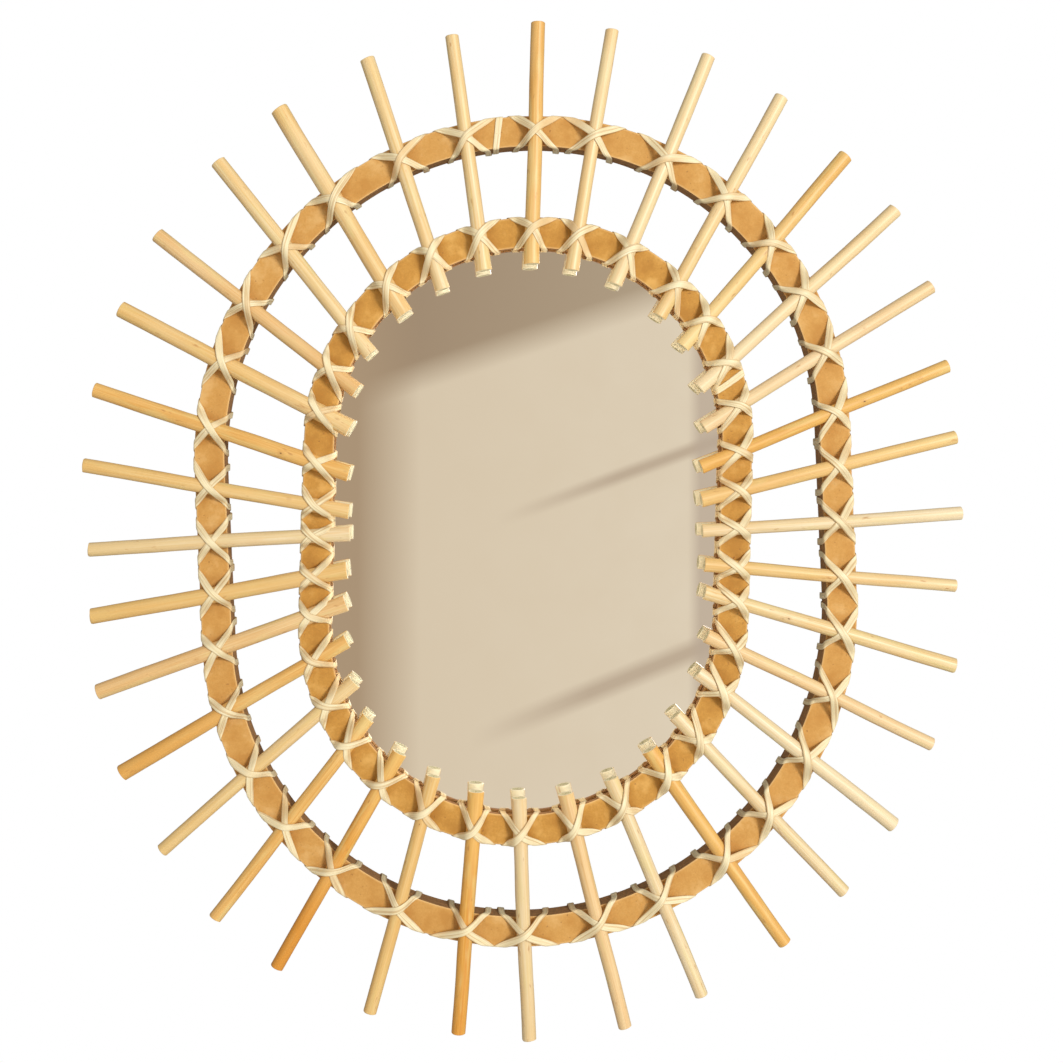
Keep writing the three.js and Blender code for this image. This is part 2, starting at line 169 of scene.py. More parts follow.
# Knots and scars on the sticks: the stick, the share of its length from the tip, the turn round it in
# degrees from the front, and the size in millimetres.
KNOTS = [
    (12, 0.667, 10, 1.1), (12, 0.69, 25, 0.9), (30, 0.737, -10, 1.2), (29, 0.775, 20, 1.0),
    (35, 0.46, 15, 0.9), (8, 0.12, 5, 0.9), (8, 0.2, 30, 0.8), (8, 0.345, 12, 1.0), (4, 0.42, 25, 0.8),
    (4, 0.7, -20, 0.7), (7, 0.3, 0, 0.7), (9, 0.32, 30, 0.8), (21, 0.8, 10, 0.8), (26, 0.4, -15, 0.8),
]

# What a distance along the stick counts for against one across it, since a knot is long, and the
# distance that stands for no knot near.
KNOT_NARROWS = 0.6
NO_KNOT = 9.0


def lerp(a, b, share):
    return a + (b - a) * share


def smooth(share):
    share = min(1, max(0, share))
    return share * share * (3 - 2 * share)


def box_centre(node):
    low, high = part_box(node)
    return (low + high) / 2


OVAL_CENTRE = box_centre("mirror_glass")
HOOPS_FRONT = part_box("outer_hoop")[0].y


def photo_place(px, py):
    """The x and z at the hoops' front of a pixel of the photograph."""
    x = OVAL_CENTRE.x + (px - OVAL_CENTRE_PX[0]) * METRES_PER_PX
    return x, OVAL_CENTRE.z - (py - OVAL_CENTRE_PX[1]) * METRES_PER_PX


def add_object(name, data):
    made = bpy.data.objects.new(name, data)
    bpy.context.scene.collection.objects.link(made)
    return made


def make_camera():
    x, z = photo_place(*FOOT_PX)
    camera = add_object("camera", bpy.data.cameras.new("camera"))
    camera.data.sensor_width = SENSOR_WIDTH
    camera.data.lens = SENSOR_WIDTH * CAMERA_DISTANCE / PHOTO_WIDTH
    camera.data.shift_x = 0.5 - FOOT_PX[0] / PHOTO_SIDE_PX
    camera.data.shift_y = FOOT_PX[1] / PHOTO_SIDE_PX - 0.5
    camera.data.clip_start = 0.05
    camera.location = (x, HOOPS_FRONT - CAMERA_DISTANCE, z)
    camera.rotation_euler = (math.pi / 2, 0, 0)
    bpy.context.scene.camera = camera


# Materials

def srgb(red, green, blue):
    """A colour as a shader takes it, from the 0 to 255 values that a screen shows."""
    def linear(value):
        value /= 255
        return value / 12.92 if value <= 0.04045 else ((value + 0.055) / 1.055) ** 2.4
    return (linear(red), linear(green), linear(blue), 1)


class Nodes:
    """Short ways to add nodes to a tree."""

    def __init__(self, tree):
        self.tree = tree

    def add(self, kind, inputs=(), **settings):
        node = self.tree.nodes.new(kind)
        for setting, value in settings.items():
            setattr(node, setting, value)
        for key, value in dict(inputs).items():
            self.put(node.inputs[key], value)
        return node

    def put(self, socket, value):
        if isinstance(value, bpy.types.NodeSocket):
            self.tree.links.new(value, socket)
        else:
            socket.default_value = value

    def attribute(self, name, output="Vector"):
        return self.add("ShaderNodeAttribute", attribute_name=name).outputs[output]

    def place(self):
        return self.add("ShaderNodeTexCoord").outputs["Object"]

    def noise(self, vector, scales, detail=3, roughness=0.55):
        """Noise over a place, with one scale for all directions or one for each."""
        if not isinstance(scales, tuple):
            scales = (scales, scales, scales)
        scaled = self.add("ShaderNodeMapping", {"Vector": vector, "Scale": scales}).outputs["Vector"]
        inputs = {"Vector": scaled, "Scale": 1, "Detail": detail, "Roughness": roughness}
        return self.add("ShaderNodeTexNoise", inputs).outputs["Fac"]

    def ramp(self, factor, low, high, start=0.0, end=1.0):
        """Maps a factor between two limits to a range."""
        inputs = {"Value": factor, "From Min": low, "From Max": high, "To Min": start, "To Max": end}
        return self.add("ShaderNodeMapRange", inputs).outputs["Result"]

    def mix(self, factor, first, second):
        node = self.add("ShaderNodeMix", data_type="RGBA")
        self.put(node.inputs["Factor"], factor)
        self.put(node.inputs[6], first)
        self.put(node.inputs[7], second)
        return node.outputs[2]

    def math(self, operation, first, second=0.0):
        return self.add("ShaderNodeMath", {0: first, 1: second}, operation=operation).outputs[0]

    def bump(self, height, distance, strength=1.0):
        inputs = {"Height": height, "Distance": distance, "Strength": strength}
        return self.add("ShaderNodeBump", inputs).outputs["Normal"]


class Shader(Nodes):
    """A material, whose colour is a ground with coats laid over it."""

    def __init__(self, name, ground):
        self.material = bpy.data.materials.new(name)
        self.material.use_nodes = True
        self.colour = ground
        super().__init__(self.material.node_tree)

    def lay(self, share, colour):
        self.colour = self.mix(share, self.colour, colour)

    def coat(self, factor, low, high, colour, most=1.0):
        """Lays a colour on, the more the further a factor has come from low to high."""
        self.lay(self.ramp(factor, low, high, 0.0, most), colour)

    def finish(self, **inputs):
        surface = self.tree.nodes["Principled BSDF"]
        self.put(surface.inputs["Base Color"], self.colour)
        for key, value in inputs.items():
            self.put(surface.inputs[key.replace("_", " ").title()], value)
        return self.material


# Peeled willow by tone: the ground colour, the deeper colour of its streaks and patches, and the
# colour of its pale stretches. After them, what all the sticks share.
WILLOW = {
    "willow_pale": (srgb(233, 213, 174), srgb(220, 188, 130), srgb(240, 224, 190)),
    "willow_cream": (srgb(234, 209, 160), srgb(220, 182, 114), srgb(240, 224, 190)),
    "willow_straw": (srgb(233, 201, 142), srgb(218, 172, 96), srgb(240, 224, 188)),
    "willow_peach": (srgb(231, 198, 144), srgb(216, 168, 102), srgb(240, 221, 182)),
    "willow_honey": (srgb(231, 187, 112), srgb(214, 156, 72), srgb(238, 214, 154)),
    "willow_amber": (srgb(226, 168, 74), srgb(209, 136, 40), srgb(236, 206, 132)),
}
WARM_TINT = srgb(234, 182, 112)
GREENISH_TINT = srgb(222, 204, 136)
# Painted light: the colour that the backs of the butts are painted towards, for the light the glass throws
# onto them.
PAINTED_BACK_LIGHT = srgb(238, 238, 214)
SCAR_BROWN = srgb(176, 118, 60)
KNOT_STAIN = srgb(186, 128, 62)
KNOT_BROWN = srgb(96, 62, 34)
CUT_WOOD = srgb(218, 214, 178)
CUT_WOOD_DARK = srgb(148, 144, 96)


def willow_material(slot):
    """Peeled willow bark-side: fine lengthwise fibre, patches of deeper colour, scars, knots, and painted
    light on the backs of the butts.
    """
    ground, deep, pale = WILLOW[slot]
    shader = Shader(slot, ground)
    grain = shader.attribute("grain")
    fibre = shader.noise(grain, (1250, 1250, 24), detail=1)
    streak = shader.noise(grain, (520, 520, 9), detail=3)
    patch = shader.noise(grain, (110, 110, 16), detail=2)
    drift = shader.noise(grain, (0, 0, 11), detail=1)
    tint = shader.noise(grain, (190, 190, 30), detail=2)
    shader.coat(fibre, 0.35, 0.65, deep, 0.7)
    shader.coat(streak, 0.48, 0.68, deep, 0.7)
    shader.coat(patch, 0.55, 0.72, deep, 0.4)
    shader.coat(tint, 0.54, 0.68, WARM_TINT, 0.25)
    shader.coat(tint, 0.46, 0.34, GREENISH_TINT, 0.4)
    paler = shader.attribute("paler", "Fac")
    shader.coat(drift, 0.5, 0.75, pale, 0.3)
    # The paler attribute holds each stick's own tone and, on the backs of the butts, painted light, which
    # runs on past one to the painted back colour.
    shader.coat(paler, 0.0, 1.0, pale)
    shader.coat(paler, 1.0, 2.0, PAINTED_BACK_LIGHT)
    shader.coat(paler, 0.0, -0.8, deep)
    scar = shader.noise(grain, (260, 260, 90), detail=2)
    shader.coat(scar, 0.67, 0.75, SCAR_BROWN, 0.6)
    knot = shader.attribute("knot", "Fac")
    shader.coat(knot, 1.6, 0.6, KNOT_STAIN, 0.35)
    shader.coat(knot, 0.62, 0.35, KNOT_BROWN, 0.95)
    height = shader.math("ADD", shader.math("MULTIPLY", fibre, 0.25), streak)
    return shader.finish(
        roughness=shader.ramp(streak, 0.3, 0.7, 0.36, 0.5),
        normal=shader.bump(height, 0.12 * MM))


def cut_material():
    """The sawn end of a stick: greyish wood with pores and faint rings round the pith."""
    shader = Shader("willow_cut", CUT_WOOD)
    grain = shader.attribute("grain")
    pores = shader.noise(grain, (1500, 1500, 60), detail=3)
    across = shader.add("ShaderNodeVectorMath", {0: grain, 1: (1, 1, 0)}, operation="MULTIPLY").outputs[0]
    reach = shader.add("ShaderNodeVectorMath", {0: across}, operation="LENGTH").outputs["Value"]
    rings = shader.math("SINE", shader.math("MULTIPLY", reach, 5200))
    shader.coat(pores, 0.4, 0.62, CUT_WOOD_DARK)
    shader.coat(rings, 0.2, 1.0, srgb(224, 208, 160), 0.3)
    shader.coat(reach, 0.8 * MM, 0.4 * MM, srgb(130, 108, 66), 0.7)
    shader.coat(reach, 3.4 * MM, 4.2 * MM, srgb(236, 230, 208), 0.7)
    return shader.finish(roughness=0.8, normal=shader.bump(pores, 0.15 * MM))


def peel_material():
    """Flat willow peel: pale, with long fibres, stretches where the tan bark side shows, and painted shade
    along its borders.
    """
    shader = Shader("peel", srgb(244, 230, 193))
    fibre_place = shader.attribute("fibre")
    fibre = shader.noise(fibre_place, (45, 2600, 2600), detail=4)
    line = shader.noise(fibre_place, (14, 900, 900), detail=2)
    stretch = shader.noise(fibre_place, (17, 60, 60), detail=1)
    shader.coat(fibre, 0.36, 0.66, srgb(231, 211, 160))
    shader.coat(line, 0.52, 0.62, srgb(204, 170, 118), 0.7)
    shader.coat(stretch, 0.54, 0.66, srgb(222, 182, 124), 0.65)
    # Painted shade: a strand is darker along its two borders, where it meets what it lies on.
    border = shader.add("ShaderNodeSeparateXYZ", {"Vector": fibre_place}).outputs["Y"]
    border = shader.math("ABSOLUTE", border)
    shader.coat(border, 1.75 * MM, 2.1 * MM, srgb(176, 138, 84), 0.5)
    return shader.finish(
        roughness=shader.ramp(fibre, 0.3, 0.7, 0.45, 0.62),
        normal=shader.bump(shader.math("ADD", fibre, line), 0.15 * MM))


# The boards' faces: where they are light, in between and deep.
BOARD = {
    "outer": (srgb(219, 173, 105), srgb(207, 155, 80), srgb(190, 133, 57)),
    # The inner board's colours are deeper than the outer's: painted shade, for the shadow that the sticks
    # and strands cast on it.
    "inner": (srgb(218, 168, 88), srgb(200, 146, 62), srgb(176, 121, 42)),
}


def board_face_material(name):
    """The tan face of a board: matted short fibres with a few dark specks, and a painted highlight at its
    edges.
    """
    light, middle, deep = BOARD[name]
    shader = Shader(f"{name}_board_face", middle)
    place = shader.place()
    cloud = shader.noise(place, 70, detail=5)
    mat = shader.noise(place, 900, detail=4, roughness=0.65)
    speck = shader.noise(place, 420, detail=2)
    shader.coat(mat, 0.34, 0.66, deep, 0.5)
    shader.coat(cloud, 0.5, 0.66, deep, 0.8)
    shader.coat(cloud, 0.46, 0.32, light, 0.8)
    shader.coat(speck, 0.7, 0.76, srgb(140, 86, 40), 0.6)
    # Painted highlight: the face is painted paler near its front corners.
    edge_highlight = shader.attribute("edge_highlight", "Fac")
    shader.lay(shader.math("MULTIPLY", edge_highlight, 0.75), srgb(238, 198, 134))
    return shader.finish(roughness=0.78, normal=shader.bump(mat, 0.12 * MM))


def board_edge_material():
    """The sawn edge of the board, darker and scored across."""
    shader = Shader("hoop_board_edge", srgb(178, 132, 80))
    place = shader.place()
    layers = shader.noise(place, (60, 1400, 60), detail=4)
    mat = shader.noise(place, 700, detail=3)
    shader.coat(layers, 0.35, 0.65, srgb(140, 98, 56))
    shader.coat(mat, 0.5, 0.7, srgb(108, 74, 40), 0.5)
    return shader.finish(roughness=0.9, normal=shader.bump(layers, 0.2 * MM))


def mirror_material():
    """Silvered glass, with the faintest unevenness in its polish."""
    shader = Shader("mirror", (0.93, 0.93, 0.92, 1))
    haze = shader.noise(shader.place(), 9, detail=2)
    return shader.finish(metallic=1.0, roughness=shader.ramp(haze, 0.3, 0.7, 0.012, 0.022))


def glass_edge_material():
    """The ground edge of the glass."""
    shader = Shader("mirror_edge", srgb(150, 176, 160))
    ground = shader.noise(shader.place(), 800, detail=2)
    shader.coat(ground, 0.3, 0.7, srgb(112, 142, 126))
    return shader.finish(roughness=0.35, normal=shader.bump(ground, 0.05 * MM))


def hardboard_material():
    """Brown hardboard: pressed fibres, a little cloudy."""
    shader = Shader("backing", srgb(190, 150, 106))
    place = shader.place()
    fibre = shader.noise(place, 480, detail=5, roughness=0.7)
    cloud = shader.noise(place, 14, detail=3)
    shader.coat(fibre, 0.35, 0.65, srgb(156, 116, 76))
    shader.coat(cloud, 0.45, 0.7, srgb(166, 130, 92), 0.5)
    return shader.finish(roughness=0.82, normal=shader.bump(fibre, 0.15 * MM))


def steel_material():
    """Zinc-plated steel strip, with the plating's faint clouds and drawn lines."""
    shader = Shader("hanger_steel", (0.66, 0.65, 0.6, 1))
    place = shader.place()
    drawn = shader.noise(place, (60, 60, 3000), detail=3)
    cloud = shader.noise(place, 130, detail=3)
    shader.coat(cloud, 0.35, 0.65, (0.5, 0.5, 0.47, 1))
    return shader.finish(
        metallic=1.0, roughness=shader.ramp(drawn, 0.3, 0.7, 0.28, 0.46),
        normal=shader.bump(drawn, 0.03 * MM))


# Meshes

def add_piece(name, node, points, faces, materials, material_of=None, attributes=None, sharp_angle=40):
    """Makes the piece that stands for a node, with its normals outwards and its edges smoothed."""
    mesh = bpy.data.meshes.new(name)
    mesh.from_pydata(points, [], faces)
    for material in materials:
        mesh.materials.append(material)
    if material_of:
        mesh.polygons.foreach_set("material_index", material_of)
    for key, values in (attributes or {}).items():
        if isinstance(values[0], float):
            mesh.attributes.new(key, "FLOAT", "POINT").data.foreach_set("value", values)
        else:
            flat = [part for value in values for part in value]
            mesh.attributes.new(key, "FLOAT_VECTOR", "POINT").data.foreach_set("vector", flat)
    solid = bmesh.new()
    solid.from_mesh(mesh)
    bmesh.ops.recalc_face_normals(solid, faces=solid.faces)
    solid.to_mesh(mesh)
    solid.free()
    mesh.shade_smooth()
    mesh.set_sharp_from_angle(angle=math.radians(sharp_angle))
    piece = add_object(name, mesh)
    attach(piece, "root")
    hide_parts(node)


def grid_faces(rows, columns, close_rows):
    """Faces between rows of points that each close on themselves, with caps where the rows don't."""
    faces = []
    for i in range(rows if close_rows else rows - 1):
        here = i * columns
        after = ((i + 1) % rows) * columns
        for j in range(columns):
            k = (j + 1) % columns
            faces.append((here + j, here + k, after + k, after + j))
    if not close_rows:
        faces.append(tuple(range(columns)))
        faces.append(tuple(range((rows - 1) * columns, rows * columns)))
    return faces


# Hoops

class Hoop:
    """One hoop: places on its middle line, and round its section."""

    def __init__(self, name):
        shape = HOOP_SHAPES[name]
        low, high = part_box(f"{name}_hoop")
        self.front = low.y
        self.thickness = high.y - low.y
        self.radius = shape["radius"]
        self.straight = shape["straight"]
        self.half = self.straight / 2
        self.quarter = math.pi / 2 * self.radius
        self.length = 4 * self.quarter + 2 * self.straight
        self.slide = shape["slide"]
        self.cosine = math.cos(math.radians(shape["turn"]))
        self.sine = math.sin(math.radians(shape["turn"]))
        self.girth = 2 * (HOOP_WIDTH + self.thickness)

    def skewed(self, x, z):
        x += self.slide * z
        return self.cosine * x + self.sine * z, self.cosine * z - self.sine * x

    def even(self, x, z):
        x, z = self.cosine * x - self.sine * z, self.sine * x + self.cosine * z
        return x - self.slide * z, z

    def place(self, station, offset):
        """The x and z at a station, moved outwards by an offset."""
        way = station % self.length
        right_end = self.quarter + self.straight
        bottom_end = right_end + 2 * self.quarter
        left_end = bottom_end + self.straight
        if way < self.quarter:
            angle, middle = way / self.radius, self.half
        elif way < right_end:
            angle, middle = math.pi / 2, self.half - (way - self.quarter)
        elif way < bottom_end:
            angle, middle = math.pi / 2 + (way - right_end) / self.radius, -self.half
        elif way < left_end:
            angle, middle = 1.5 * math.pi, way - bottom_end - self.half
        else:
            angle, middle = 1.5 * math.pi + (way - left_end) / self.radius, self.half
        out = self.radius + offset
        x, z = self.skewed(out * math.sin(angle), middle + out * math.cos(angle))
        return OVAL_CENTRE.x + x, OVAL_CENTRE.z + z

    def station_of(self, x, z):
        x, z = self.even(x - OVAL_CENTRE.x, z - OVAL_CENTRE.z)
        right_end = self.quarter + self.straight
        if z > self.half:
            return math.atan2(x, z - self.half) * self.radius % self.length
        if z < -self.half:
            return right_end + self.quarter - math.atan2(x, -self.half - z) * self.radius
        if x > 0:
            return self.quarter + self.half - z
        return right_end + 2 * self.quarter + self.half + z

    def station_near(self, x, z, station):
        """The station of a place, counted on from another station, or back, past the top."""
        return station + (self.station_of(x, z) - station + self.length / 2) % self.length - self.length / 2

    def distance(self, x, z):
        """How far outside the middle line a place is."""
        x, z = self.even(x - OVAL_CENTRE.x, z - OVAL_CENTRE.z)
        return math.hypot(x, z - min(self.half, max(-self.half, z))) - self.radius

    def wrapped(self, station, way, lift):
        """A place round the section: the way starts in the middle of the front and goes outwards."""
        sides = ((HOOP_WIDTH, (1, 0), (0, -1)), (self.thickness, (0, 1), (1, 0)),
                 (HOOP_WIDTH, (-1, 0), (0, 1)), (self.thickness, (0, -1), (-1, 0)))
        corner = [-HOOP_WIDTH / 2, self.front]
        way = (way + HOOP_WIDTH / 2) % self.girth
        for length, direction, normal in sides:
            if way <= length:
                break
            way -= length
            corner[0] += direction[0] * length
            corner[1] += direction[1] * length
        if way < CORNER_REACH:
            turn = math.pi / 4 * (way / CORNER_REACH - 1)
            along = HOOP_EDGE_ROUND
        elif way > length - CORNER_REACH:
            turn = math.pi / 4 * (way - length + CORNER_REACH) / CORNER_REACH
            along = length - HOOP_EDGE_ROUND
        else:
            turn = 0
            share = (way - CORNER_REACH) / (length - 2 * CORNER_REACH)
            along = HOOP_EDGE_ROUND + share * (length - 2 * HOOP_EDGE_ROUND)
        along += math.sin(turn) * (HOOP_EDGE_ROUND + lift)
        off = math.cos(turn) * (HOOP_EDGE_ROUND + lift) - HOOP_EDGE_ROUND
        out, depth = (corner[n] + direction[n] * along + normal[n] * off for n in (0, 1))
        x, z = self.place(station, out)
        return Vector((x, depth, z))


def section_ways(hoop):
    """Where the points of a hoop's section lie round it, close together at its rounded corners."""
    ways = []
    edge = -HOOP_WIDTH / 2
    for length in (HOOP_WIDTH, hoop.thickness, HOOP_WIDTH, hoop.thickness):
        ways += [edge + share * CORNER_REACH for share in (0, 0.5, 1, 1.5)]
        if length == HOOP_WIDTH:
            ways += [edge + length * share for share in (0.35, 0.65)]
        ways += [edge + length - share * CORNER_REACH for share in (1.5, 1, 0.5)]
        edge += length
    return ways


def add_hoop(name, hoop, face_material, edge_material):
    """A board hoop with softened edges, tan on its front and dark on its sawn sides and its raw back."""
    ways = section_ways(hoop)
    points, edge_highlight = [], []
    for i in range(HOOP_STEPS):
        station = i * hoop.length / HOOP_STEPS
        for way in ways:
            # How much painted highlight a point gets, the more the nearer it is to a front corner of the
            # face.
            off_edge = abs(abs(way) - HOOP_WIDTH / 2)
            edge_highlight.append(1.0 - smooth(off_edge / EDGE_HIGHLIGHT_REACH))
            wobble = HOOP_WOBBLE * noise.noise(Vector((station * 60, way * 40, 3.1)))
            points.append(hoop.wrapped(station, way, wobble))
    faces = grid_faces(HOOP_STEPS, len(ways), True)
    off_front = []
    for way, after in zip(ways, ways[1:] + ways[-1:]):
        middle = (way + after) / 2
        off_front.append(int((middle + HOOP_WIDTH / 2) % hoop.girth > HOOP_WIDTH))
    add_piece(
        f"{name}_hoop_board", f"{name}_hoop", points, faces, [face_material, edge_material],
        off_front * HOOP_STEPS, {"edge_highlight": edge_highlight})


# Sticks

class Stick:
    """One stick, as its solid lies: its axis from butt to tip, and its two radii."""

    def __init__(self, number):
        self.number = number
        self.node = f"stick_{number:02d}"
        solid = frame["nodes"][self.node].data
        places = {tuple(round(part, 6) for part in vertex.co) for vertex in solid.vertices}
        places = [Vector(place) for place in sorted(places)]
        middle = sum(places, Vector()) / len(places)
        outwards = (middle - OVAL_CENTRE).normalized()
        near = [place for place in places if (place - middle).dot(outwards) < 0]
        far = [place for place in places if (place - middle).dot(outwards) >= 0]
        self.butt = sum(near, Vector()) / len(near)
        self.tip = sum(far, Vector()) / len(far)
        self.butt_radius = max((place - self.butt).length for place in near)
        self.tip_radius = max((place - self.tip).length for place in far)
        self.length = (self.tip - self.butt).length
        self.direction = (self.tip - self.butt).normalized()

    def radius(self, way):
        return lerp(self.butt_radius, self.tip_radius, way / self.length)

    def crossing(self, hoop):
        """How far from the butt the stick's axis is over the hoop's middle line."""
        low, high = 0, self.length
        for _ in range(40):
            way = (low + high) / 2
            place = self.butt + self.direction * way
            if hoop.distance(place.x, place.z) > 0:
                high = way
            else:
                low = way
        return way


def knot_distance(stick, way, turn):
    """How far a place on a stick is from its nearest knot, for the knot's size."""
    nearest = NO_KNOT
    for number, share, degrees, size in KNOTS:
        if number == stick.number:
            along = (1 - share) * stick.length - way
            around = (turn - math.radians(degrees) + math.pi) % (2 * math.pi) - math.pi
            across = around * stick.radius(way)
            nearest = min(nearest, math.hypot(along * KNOT_NARROWS, across) / (size * MM))
    return nearest


def add_stick(stick, wood, cut):
    """A peeled stick: tapered, a little uneven and bent, with knots that swell and ends cut flat."""
    rng = random.Random(100 + stick.number)
    bend = rng.uniform(-STICK_BEND, STICK_BEND)
    wave = rng.uniform(-STICK_WAVE, STICK_WAVE)
    seed = rng.uniform(0, 50)
    tilt = {-1: rng.uniform(-BUTT_SLANT, BUTT_SLANT), 1: rng.uniform(-TIP_SLANT, TIP_SLANT)}
    front = Vector((0, -1, 0))
    front = (front - front.dot(stick.direction) * stick.direction).normalized()
    side = stick.direction.cross(front)
    grain_start = stick.number * 1.37

    ring_step = (stick.length - 2 * CUT_CHAMFER) / STICK_RINGS
    rings = [(0, share, -1) for share in CUT_RINGS]
    rings.append((0, 1 - CUT_CHAMFER / stick.butt_radius, -1))
    rings += [(CUT_CHAMFER + i * ring_step, 1, 0) for i in range(STICK_RINGS + 1)]
    rings.append((stick.length, 1 - CUT_CHAMFER / stick.tip_radius, 1))
    rings += [(stick.length, share, 1) for share in reversed(CUT_RINGS)]

    tip_paler, butt_paler = PALER.get(stick.number, (0.0, 0.0))
    points, grain, knots, paler = [], [], [], []
    for way, share, end in rings:
        along = way / stick.length
        sway = bend * math.sin(math.pi * along) + wave * math.sin(3 * math.pi * along)
        for j in range(STICK_SIDES):
            turn = 2 * math.pi * j / STICK_SIDES
            around = Vector((math.cos(turn), math.sin(turn), 0))
            swell = SHORT_SWELL * noise.noise(Vector((around.x, around.y, way * 55 + seed)))
            swell += LONG_SWELL * noise.noise(Vector((around.x * 0.6 + 7, around.y * 0.6, way * 18 + seed)))
            knot = knot_distance(stick, way, turn)
            swell += KNOT_SWELL * math.exp(-((knot / KNOT_SWELL_REACH) ** 2))
            swell += BUTT_SPLAY * math.exp(-way / BUTT_SPLAY_REACH)
            radius = stick.radius(way) * share * (1 + swell)
            slant = tilt[end] * radius * around.y if end else 0
            sunk = -end * PITH_DEPTH if share < PITH_SHARE else 0
            place = stick.butt + stick.direction * (way + slant + sunk)
            place += side * (sway + radius * around.y) + front * radius * around.x
            points.append(place)
            grain.append((radius * around.x, radius * around.y, way + grain_start))
            knots.append(float(knot))
            # Painted light on the back of a butt, for the light that the glass throws onto it.
            back_light_share = smooth(-1.6 * around.x) * math.exp(-way / PALE_BACK_REACH)
            paler.append(lerp(butt_paler, tip_paler, smooth(along)) + PALE_BACK * back_light_share)
    rows = len(rings) - 1
    faces = grid_faces(len(rings), STICK_SIDES, False)
    on_cut = [int(row < len(CUT_RINGS) or row >= rows - len(CUT_RINGS)) for row in range(rows)]
    material_of = [cut_row for cut_row in on_cut for _ in range(STICK_SIDES)] + [1, 1]
    add_piece(
        f"willow_{stick.number:02d}", stick.node, points, faces, [wood, cut], material_of,
        {"grain": grain, "knot": knots, "paler": paler}, sharp_angle=32)


# Lashings

# The half section of a strand, from one border over its flat outside to the other: how far across
# in half widths, and how far outwards and inwards in thicknesses.
PEEL_SECTION = [(-1, 0, 0), (-0.95, 0.38, -0.38), (-0.6, 0.5, -0.5), (0, 0.5, -0.5),
                (0.6, 0.5, -0.5), (0.95, 0.38, -0.38), (1, 0, 0)]


def hermite_weights(t):
    """What a curve's start, first slope, end and last slope count for at a share of its way."""
    return 2 * t ** 3 - 3 * t ** 2 + 1, t ** 3 - 2 * t ** 2 + t, 3 * t ** 2 - 2 * t ** 3, t ** 3 - t ** 2


def hermite(start, end, slopes, pulls, climb, count, bunching):
    """Places on a curve between two places, which leaves and arrives at given slopes.

    The smaller its pull, the closer to that end the curve turns into its slope. With bunching, the
    places are closer together towards both ends.
    """
    chord = math.hypot(end[0] - start[0], end[1] - start[1])
    first, last = [
        (chord * pull * math.cos(math.radians(slope)), climb * chord * pull * math.sin(math.radians(slope)))
        for slope, pull in zip(slopes, pulls)]
    places = []
    for i in range(count):
        t = i / count
        a, b, c, d = hermite_weights(t - bunching * math.sin(2 * math.pi * t))
        places.append(tuple(a * start[n] + b * first[n] + c * end[n] + d * last[n] for n in (0, 1)))
    return places


class Crossing:
    """Where one stick lies over one hoop, and how its two strands run there."""

    def __init__(self, stick, hoop, binding, rng):
        way = stick.crossing(hoop)
        middle = stick.butt + stick.direction * way
        self.place = Vector((middle.x, middle.z))
        self.direction = Vector((stick.direction.x, stick.direction.z)).normalized()
        self.across = Vector((self.direction.y, -self.direction.x))
        self.radius = stick.radius(way)
        self.axis_height = hoop.front - middle.y
        evenly = (stick.number - 1) * hoop.length / STICK_COUNT
        self.station = hoop.station_near(middle.x, middle.z, evenly)
        x, z = hoop.place(self.station, HOOP_WIDTH / 2)
        x_in, z_in = hoop.place(self.station, -HOOP_WIDTH / 2)
        normal = Vector((x - x_in, z - z_in)).normalized()
        to_edge = HOOP_WIDTH / 2 / self.direction.dot(normal)
        at_ends = abs(normal.y)
        outer_spread = lerp(binding["outer_spread_at_sides"], binding["outer_spread_at_ends"], at_ends)
        self.edge = {}
        self.spread = {}
        for side, spread in ((1, outer_spread), (-1, binding["inner_spread"])):
            at_edge = self.place + self.direction * side * to_edge
            self.edge[side] = hoop.station_near(at_edge.x, at_edge.y, self.station)
            for before in (-1, 1):
                self.spread[side, before] = spread * (1 + rng.uniform(-SPREAD_VARIES, SPREAD_VARIES)) * MM
        self.shift = (binding["crest_shift"] + rng.uniform(-CREST_VARIES, CREST_VARIES)) * MM
        crest = self.place + self.direction * self.shift
        self.crest_station = hoop.station_near(crest.x, crest.y, self.station)

    def keep_clear(self, after, lap):
        """Draws in the strands that would lie over those of the next stick at a hoop's edge."""
        for side in (-1, 1):
            room = after.edge[side] + lap - self.edge[side] - 2 * PEEL_HALF_WIDTH * EDGE_WIDENING
            wanted = self.spread[side, 1] + after.spread[side, -1]
            share = min(1, room / wanted)
            self.spread[side, 1] *= share
            after.spread[side, -1] *= share

    def height(self, x, z, climb, edge_lift, crest_lift):
        """How high a strand that is pulled taut over the stick stands off its place on the hoop."""
        off = (Vector((x, z)) - self.place).dot(self.across)
        landing = self.spread[climb, 1] if off > 0 else self.spread[-climb, -1]
        off = abs(off)
        base = edge_lift + PEEL_THICKNESS / 2
        reach = self.radius + crest_lift + PEEL_THICKNESS / 2
        rise = self.axis_height - base
        slope = math.atan2(rise, landing) + math.asin(reach / math.hypot(rise, landing))
        leaves = reach * math.sin(slope)
        if off <= leaves:
            return rise + math.sqrt(reach ** 2 - off ** 2)
        if off >= landing:
            return 0
        span = landing - leaves
        start = rise + reach * math.cos(slope)
        fall = -math.tan(slope) * span
        at_start, of_slope, _, of_landing = hermite_weights((off - leaves) / span)
        return at_start * start + (of_slope + of_landing * LANDING_SLOPE) * fall


def with_next(crossings, hoop):
    """Each crossing, the next one round, and the whole lap to add to the next one's stations."""
    for number, here in enumerate(crossings):
        last = number + 1 == len(crossings)
        yield here, crossings[0 if last else number + 1], hoop.length if last else 0


